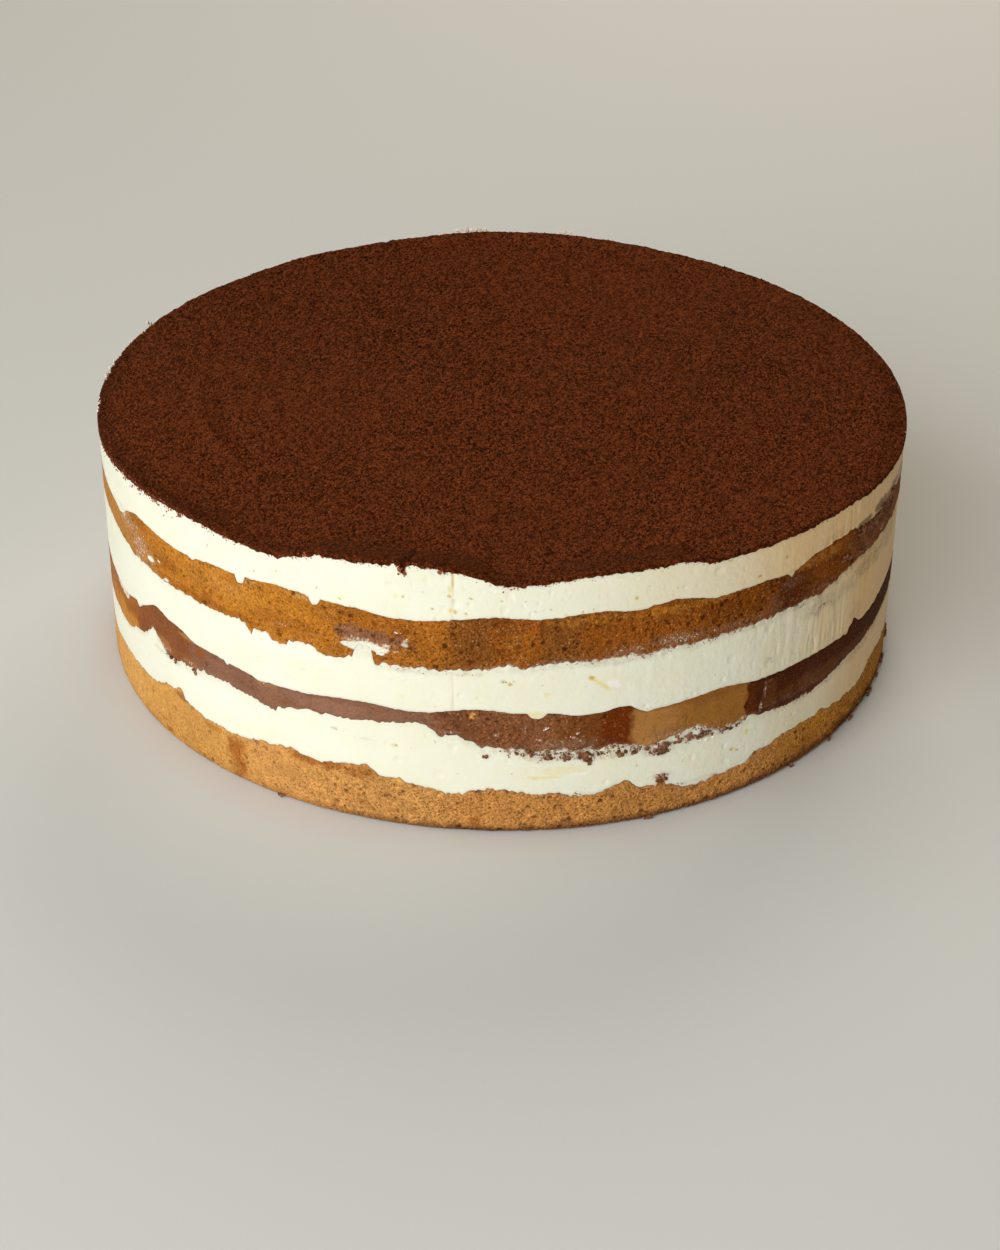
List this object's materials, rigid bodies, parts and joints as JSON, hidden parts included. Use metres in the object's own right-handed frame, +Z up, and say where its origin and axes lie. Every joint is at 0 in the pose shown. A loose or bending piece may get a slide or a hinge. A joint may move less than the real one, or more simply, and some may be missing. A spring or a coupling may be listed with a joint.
{
  "type": "layer cake",
  "caption": "Round layer cake with bare sides: soaked sponges and smooth cream in turn, under a matt skin of cocoa.",
  "frame": {"origin": "centre of the flat foot, on the surface that the cake stands on", "axes": "+Z up through the cake's middle; -Y towards the side that the picture shows, +X to its right"},
  "size_m": [0.26, 0.26, 0.0899],
  "materials": {
    "golden_sponge": "golden tan baked sponge, porous and dry at the side",
    "dark_sponge": "sponge soaked dark brown, smooth where it was pressed",
    "amber_sponge": "sponge soaked orange brown, porous",
    "cream": "ivory cream, smooth with a soft sheen",
    "cocoa": "matt dark red-brown powder"
  },
  "bodies": {
    "root": {"sponge_bottom": "golden_sponge", "cream_lower": "cream", "sponge_middle": "dark_sponge", "cream_middle": "cream", "sponge_top": "amber_sponge", "cream_top": "cream", "cocoa_top": "cocoa"}
  },
  "joints": []
}
